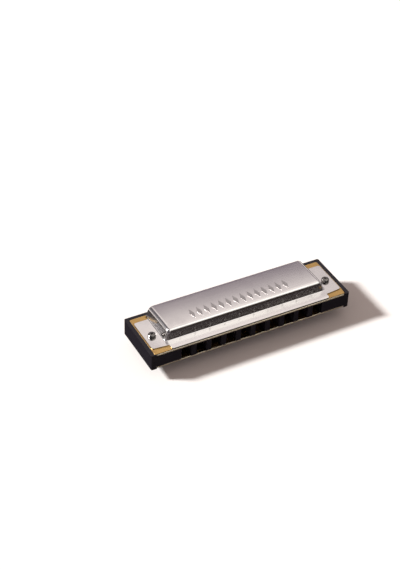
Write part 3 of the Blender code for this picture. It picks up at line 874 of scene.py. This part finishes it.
def makePlate(name, side, kind):
    p, r = plates, reeds
    low, high = sorted((mid + side * p["inner"], mid + side * p["outer"]))
    plate = addBlock(name + "_fine", (-p["halfX"], p["front"], low), (p["halfX"], p["back"], high))
    roundCorners(plate, lambda spot: spot.y < 0, p["frontCorner"], 6)
    roundCorners(plate, lambda spot: spot.y > 0, p["backCorner"], 4)
    startEdit(plate)
    pickEdges(lambda edge, a, b: near(a.z, b.z) and max(a.y, b.y) < p["front"] + p["frontCorner"] + 0.05)
    roundPicked(p["frontEdge"], 5)
    endEdit()
    softenEdges(plate, p["edge"], 2, 50)
    tools = []
    half = r["width"] / 2 + r["sideGap"]
    for x, y, way, length in reedPlaces(kind):
        root, tip = r["padFront"] + r["sideGap"], r["padFront"] + length + r["tipGap"]
        ends = sorted((y + way * root, y + way * tip))
        tools.append(addBlock("slot", (x - half, ends[0], low - 1), (x + half, ends[1], high + 1)))
        tools.append(addRod("hole", x, y, low - 1, high + 1, r["rivetHole"], 20))
    for x in (-bolts["x"], bolts["x"]):
        tools.append(addRod("hole", x, bolts["y"], low - 1, high + 1, bolts["hole"], 24))
    for x, y in plateScrews["front"] + plateScrews["back"]:
        tools.append(addRod("hole", x, y, low - 1, high + 1, plateScrews["hole"], 20))
    cutWith(plate, joinAll(tools, "slots"))
    softenEdges(plate, p["slotEdge"], 1, 60)
    smoothShade(plate, 40)
    paint(plate, plateBrass)
    finishPiece(plate, name)


print("Cutting the reed plates")
makePlate("upper_reed_plate", 1, "blow")
makePlate("lower_reed_plate", -1, "draw")


# Reeds: filed tongues on a thick pad.

def makeFirstReed():
    r = reeds
    half, length = r["thickness"] / 2, r["long"]
    reed = addBlock("reed", (-r["width"] / 2, r["padFront"], -half),
                    (r["width"] / 2, r["padFront"] + length, half))
    startEdit(reed)
    for share, thickness in r["filed"][1:-1]:
        sliceFaces(anyFace, (0, r["padFront"] + share * length, 0), (0, 1, 0))
    for share, thickness in r["filed"]:
        pickPoints(lambda spot: near(spot.y, r["padFront"] + share * length) and spot.z > 0)
        moveBy(0, 0, thickness - r["thickness"])
    pickFaces(lambda middle, normal: normal.y < -0.9)
    pullOut(0, -r["shoulder"], 0)
    bpy.ops.transform.resize(value=(r["padWidth"] / r["width"], 1, 1))
    pullOut(0, r["shoulder"] - r["padFront"] - r["padBack"], 0)
    endEdit()
    cutWith(reed, addRod("hole", 0, 0, -1, 1, r["rivetHole"], 20))
    softenEdges(reed, r["edge"], 1, 50)
    return reed


def makeReeds():
    r = reeds
    pattern = makeFirstReed()
    for kind, surface in (("blow", mid + plates["inner"]), ("draw", mid - plates["outer"])):
        level = surface - r["offset"]
        for index, (x, y, way, length) in enumerate(reedPlaces(kind)):
            name = f"{kind}_reed_{index + 1:02d}"
            reed = copyPiece(pattern, name + "_fine")
            startEdit(reed)
            pickPoints(lambda spot: spot.y > r["padFront"] + 0.05)
            bpy.ops.transform.resize(value=(1, length / r["long"], 1),
                                     center_override=(0, r["padFront"] * mm, 0))
            endEdit()
            reed.matrix_world = shift(x, y, level) @ turnBy(180, "X" if way < 0 else "Y")
            settle(reed)
            smoothShade(reed, 30)
            paint(reed, reedBrass)
            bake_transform(reed)
            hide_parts(name)
    bpy.data.objects.remove(pattern, do_unlink=True)


print("Filing the reeds")
makeReeds()


# Rivets, screws, bolts and nuts: turned forms built up ring by ring.

rivets = {
    # Rings from the foot to the head, as radius and height over the plate's reed side.
    "rings": ((0.5, -1.24), (0.62, -1.19), (0.62, -1.09), (0.58, -1.04), (0.45, -1.04), (0.45, 0.43),
              (0.76, 0.43), (0.8, 0.47), (0.8, 0.58), (0.72, 0.69), (0.5, 0.75), (0.2, 0.78)),
    "sides": 20,
}


def addTurned(name, rings, sides):
    # Starts from a filled circle and pulls its face up through each ring.
    deselectAll()
    radius, height = rings[0]
    bpy.ops.mesh.primitive_circle_add(
        vertices=sides, radius=radius * mm, fill_type="NGON", location=(0, 0, height * mm))
    turned = bpy.context.object
    turned.name = name
    settle(turned)
    startEdit(turned)
    bpy.ops.mesh.select_all(action="SELECT")
    for nextRadius, nextHeight in rings[1:]:
        pullOut(0, 0, nextHeight - height)
        ratio = nextRadius / radius
        if abs(ratio - 1) > 1e-6:
            bpy.ops.transform.resize(value=(ratio, ratio, 1), center_override=(0, 0, nextHeight * mm))
        radius, height = nextRadius, nextHeight
    bpy.ops.mesh.select_all(action="SELECT")
    bpy.ops.mesh.normals_make_consistent(inside=False)
    endEdit()
    return turned


def makeRivets():
    pattern = addTurned("rivet", rivets["rings"], rivets["sides"])
    for kind, level in (("blow", mid + plates["inner"]), ("draw", mid - plates["outer"])):
        for index, (x, y, way, length) in enumerate(reedPlaces(kind)):
            name = f"{kind}_rivet_{index + 1:02d}"
            rivet = copyPiece(pattern, name + "_fine", shift(x, y, level) @ turnBy(180, "X"))
            smoothShade(rivet, 40)
            paint(rivet, plateBrass)
            finishPiece(rivet, name)
    bpy.data.objects.remove(pattern, do_unlink=True)


def threadRings(look, start, end):
    # Ridges and grooves from start up to end, as rings on the shank.
    rings, height = [], start
    while height < end:
        rings += [(look["shank"] - look["threadDepth"], height + look["pitch"] / 2),
                  (look["shank"], height + look["pitch"])]
        height += look["pitch"]
    return rings


def headRings(look):
    head, top, rim = look["head"], look["headHeight"], look["rim"]
    dome = [(head * wide, top * high) for wide, high in look["dome"]]
    return [(look["shank"], 0), (head - rim, 0), (head, rim)] + dome


def placeCopy(pattern, node, turn):
    piece = copyPiece(pattern, node + "_fine", turn)
    smoothShade(piece, 40)
    paint(piece, screwSteel)
    finishPiece(piece, node)


def makePlateScrews():
    s = plateScrews
    head, top, start = s["head"], s["headHeight"], s["point"] - s["length"]
    rings = [(s["tip"], -s["length"]), (s["shank"], start)]
    rings += threadRings(s, start, -s["plain"] - s["pitch"])
    pattern = addTurned("screw", rings + headRings(s), 24)
    cutWith(pattern, addBlock("slot", (-head - 1, -s["slot"] / 2, top - s["slotDepth"]),
                              (head + 1, s["slot"] / 2, top + 1)))
    softenEdges(pattern, s["edge"], 1, 55)
    under = plates["outer"] + gap
    for index, (x, y) in enumerate(s["front"] + s["back"]):
        upper = shift(x, y, mid + under) @ turnBy(s["upperTurn"] * index, "Z")
        lower = shift(x, y, mid - under) @ turnBy(s["lowerTurn"] * index, "Z") @ turnBy(180, "X")
        placeCopy(pattern, f"upper_plate_screw_{index + 1}", upper)
        placeCopy(pattern, f"lower_plate_screw_{index + 1}", lower)
    bpy.data.objects.remove(pattern, do_unlink=True)


def makeFirstBolt(end):
    b = bolts
    rings = [(b["shank"] - b["point"], end), (b["shank"], end + b["point"])]
    rings += threadRings(b, end + b["point"], end + b["threaded"])
    bolt = addTurned("bolt", rings + headRings(b), 40)
    arm, width, top = b["crossArm"], b["crossWidth"] / 2, b["headHeight"]
    # Each slot of the cross narrows downwards, more along its length.
    for halfX, halfY, narrow in ((arm, width, (0.55, 0.9, 1)), (width, arm, (0.9, 0.55, 1))):
        slot = addBlock("slot", (-halfX, -halfY, top - b["crossDepth"]), (halfX, halfY, top + 1))
        startEdit(slot)
        pickFaces(lambda middle, normal: normal.z < -0.9)
        bpy.ops.transform.resize(value=narrow)
        endEdit()
        cutWith(bolt, slot)
    softenEdges(bolt, b["edge"], 2, 50)
    return bolt


def makeFirstNut():
    # Six flats, with both ends chamfered inside and out.
    b = bolts
    corner, height = b["nutFlats"] / math.sqrt(3), b["nutHeight"]
    cut, flare = b["nutChamfer"], b["boreChamfer"]
    nut = addTurned("nut", ((corner, -height), (corner, 0)), 6)
    outside = addTurned("outside", ((corner * 0.84, -height), (corner + 0.02, cut - height),
                                    (corner + 0.02, -cut), (corner * 0.84, 0)), 48)
    cutWith(nut, outside, operation="INTERSECT")
    bore, past = b["nutBore"], 0.01
    cutWith(nut, addTurned("bore", ((bore + flare, -height - past), (bore, flare - height - past),
                                    (bore, past - flare), (bore + flare, past)), 32))
    softenEdges(nut, b["edge"], 1, 50)
    return nut


def makeBolts():
    b = bolts
    under = cover["level"] + gap
    bolt = makeFirstBolt(-2 * under - b["nutHeight"] - b["proud"])
    nut = makeFirstNut()
    for side, x in (("left", -b["x"]), ("right", b["x"])):
        placeCopy(bolt, f"{side}_cover_bolt", shift(x, b["y"], mid + under) @ turnBy(b["turn"], "Z"))
        placeCopy(nut, f"{side}_cover_nut", shift(x, b["y"], mid - under))
    for pattern in (bolt, nut):
        bpy.data.objects.remove(pattern, do_unlink=True)


print("Turning the rivets, screws and bolts")
makeRivets()
makePlateScrews()
makeBolts()


# Table, light and camera.

table = {
    "size": 3000.0, "under": 0.01, "colour": (0.86, 0.85, 0.84), "cloud": (0.88, 0.87, 0.86),
    "roughness": 0.75, "gloss": 0.2,
}
keyLight = {"power": 5.4, "colour": (1.0, 0.98, 0.96), "spread": 9.0, "turn": -117.4, "height": 35.0}
room = {
    "frontLeft": (0.36, 0.33, 0.33), "frontRight": (0.03, 0.022, 0.02), "side": (0.4, 0.37, 0.37),
    "back": (0.22, 0.18, 0.215), "box": (1.04, 0.96, 0.92), "above": (1.6, 1.56, 1.47),
    "dim": (0.07, 0.06, 0.075), "ceiling": (0.66, 0.63, 0.62), "ground": (0.045, 0.037, 0.039),
    "fill": (0.38, 0.305, 0.28), "wall": (0.9, 0.9, 0.9),
    # Each part of the room fades in between two values of a direction's x, y or z.
    "fades": {
        "toRight": ("X", -0.3, 0.35), "toSide": ("Y", -0.6, -0.1), "toBack": ("Y", 0.2, 0.6),
        "boxBehind": ("Y", 0.0, 0.45), "boxHigh": ("Z", 0.50, 0.68), "boxLow": ("Z", 0.30, 0.20),
        "aboveBack": ("Y", -0.4, 0.2), "toAbove": ("Z", 0.60, 0.76), "dimLeft": ("X", -0.05, -0.2),
        "dimHigh": ("Z", 0.12, 0.22), "toCeiling": ("Z", 0.90, 0.98), "toGround": ("Z", 0.0, -0.08),
    },
}
camera = {
    "lookAt": (-6.1, 25.7, 9.1), "distance": 662.7, "turn": -29.05, "height": 38.81,
    "roll": 2.02, "sensor": 24.0, "lens": 59.6, "nearest": 0.01,
}


def directionTo(place):
    # turn runs from the front towards the right, and height up from the table, both in degrees.
    turn, height = math.radians(place["turn"]), math.radians(place["height"])
    return Vector((math.sin(turn) * math.cos(height), -math.cos(turn) * math.cos(height), math.sin(height)))


def makeTable():
    deselectAll()
    bpy.ops.mesh.primitive_plane_add(size=table["size"] * mm, location=(0, 0, -table["under"] * mm))
    floor = bpy.context.object
    floor.name = "table_top"
    material, tree, shader, place = startMaterial("pale_table")
    colour = mixColours(tree, addNoise(tree, place, 3.0, 3.0), table["colour"], table["cloud"])
    tree.links.new(colour, shader.inputs["Base Color"])
    shader.inputs["Roughness"].default_value = table["roughness"]
    shader.inputs["Specular IOR Level"].default_value = table["gloss"]
    # The table is clear from underneath and in mirrors, which see the plain ground colour instead.
    glossy = addNode(tree, "ShaderNodeLightPath").outputs["Is Glossy Ray"]
    clear = mathNode(tree, "MAXIMUM", glossy, addNode(tree, "ShaderNodeNewGeometry").outputs["Backfacing"])
    tree.links.new(mathNode(tree, "SUBTRACT", 1.0, clear), shader.inputs["Alpha"])
    floor.data.materials.append(material)


def makeKeyLight():
    key = bpy.data.lights.new("key", "SUN")
    key.energy = keyLight["power"]
    key.angle = math.radians(keyLight["spread"])
    key.color = keyLight["colour"]
    lamp = bpy.data.objects.new("key", key)
    bpy.context.scene.collection.objects.link(lamp)
    lamp.rotation_euler = (-directionTo(keyLight)).to_track_quat("-Z", "Y").to_euler()


def makeRoom():
    # Mirrors see a bright overcast box behind and above, and everything else gets a low even fill.
    world = bpy.data.worlds.new("studio")
    bpy.context.scene.world = world
    world.use_nodes = True
    tree = world.node_tree
    generated = addNode(tree, "ShaderNodeTexCoord").outputs["Generated"]
    way = addNode(tree, "ShaderNodeSeparateXYZ", {0: generated}).outputs

    def fade(name):
        axis, start, end = room["fades"][name]
        return remap(tree, way[axis], start, end, 0.0, 1.0)

    front = mixColours(tree, fade("toRight"), room["frontLeft"], room["frontRight"])
    seen = mixColours(tree, fade("toSide"), front, room["side"])
    seen = mixColours(tree, fade("toBack"), seen, room["back"])
    box = mathNode(tree, "MAXIMUM", fade("boxHigh"), fade("boxLow"))
    seen = mixColours(tree, mathNode(tree, "MULTIPLY", fade("boxBehind"), box), seen, room["box"])
    above = mixColours(tree, fade("aboveBack"), room["above"], room["box"])
    seen = mixColours(tree, fade("toAbove"), seen, above)
    # Rounded left ends pick up the dim side of the room between the floor and the light.
    dim = mathNode(tree, "MULTIPLY", fade("dimLeft"), fade("dimHigh"))
    seen = mixColours(tree, dim, seen, room["dim"])
    seen = mixColours(tree, fade("toCeiling"), seen, room["ceiling"])
    seen = mixColours(tree, fade("toGround"), seen, room["ground"])
    rays = addNode(tree, "ShaderNodeLightPath")
    sky = mixColours(tree, rays.outputs["Is Glossy Ray"], room["fill"], seen)
    sky = mixColours(tree, rays.outputs["Is Camera Ray"], sky, room["wall"])
    tree.links.new(sky, tree.nodes["Background"].inputs["Color"])


def makeCamera():
    lens = bpy.data.cameras.new("view")
    eye = bpy.data.objects.new("view", lens)
    bpy.context.scene.collection.objects.link(eye)
    lens.sensor_width = camera["sensor"]      # for the long side of the picture
    lens.lens = camera["lens"]
    lens.clip_start = camera["nearest"]
    back = directionTo(camera)
    eye.location = (Vector(camera["lookAt"]) + back * camera["distance"]) * mm
    level = back.to_track_quat("Z", "Y").to_matrix().to_4x4()
    eye.rotation_euler = (level @ turnBy(camera["roll"], "Z")).to_euler()
    bpy.context.scene.camera = eye


print("Setting the table, the light and the camera")
makeTable()
makeKeyLight()
makeRoom()
makeCamera()
bpy.context.scene.view_settings.view_transform = "Standard"
